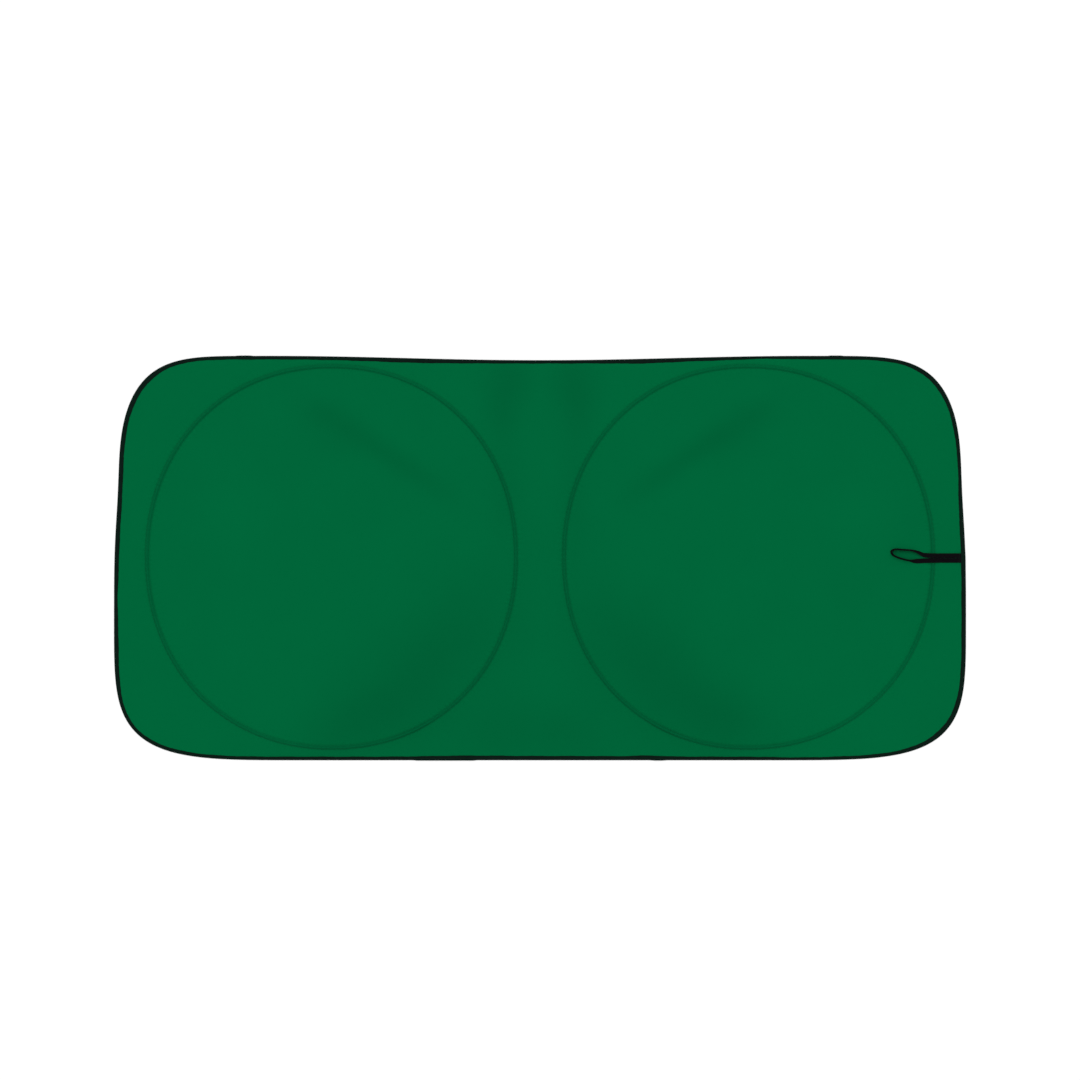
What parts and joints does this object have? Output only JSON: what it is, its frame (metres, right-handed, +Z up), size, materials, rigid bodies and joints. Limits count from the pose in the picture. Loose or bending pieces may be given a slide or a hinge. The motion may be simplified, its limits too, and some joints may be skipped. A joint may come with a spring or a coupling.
{
  "type": "car sunshade",
  "caption": "Twist-fold windscreen sunshade: a bound taffeta sheet held flat by sprung wire hoops in sewn casings, with an elastic loop that keeps it folded.",
  "frame": {"origin": "under the middle of the spread sheet, on the surface that it lies on", "axes": "+X along the shade towards the end with the elastic loop, +Y towards its top edge, +Z up out of its green face"},
  "size_m": [1.475, 0.7, 0.0094],
  "materials": {
    "green_taffeta": "fine plain weave, coated",
    "binding_tape": "ribbed woven tape",
    "casing_tape": "flat woven tape",
    "spring_steel": "drawn",
    "sleeve_steel": "zinc plated",
    "woven_elastic": "ribbed elastic"
  },
  "bodies": {
    "root": {"shade_cloth": "green_taffeta", "edge_binding": "binding_tape", "left_hoop_casing": "casing_tape", "right_hoop_casing": "casing_tape", "left_hoop_wire": "spring_steel", "right_hoop_wire": "spring_steel", "left_hoop_sleeve": "sleeve_steel", "right_hoop_sleeve": "sleeve_steel", "elastic_loop": "woven_elastic"}
  },
  "joints": []
}
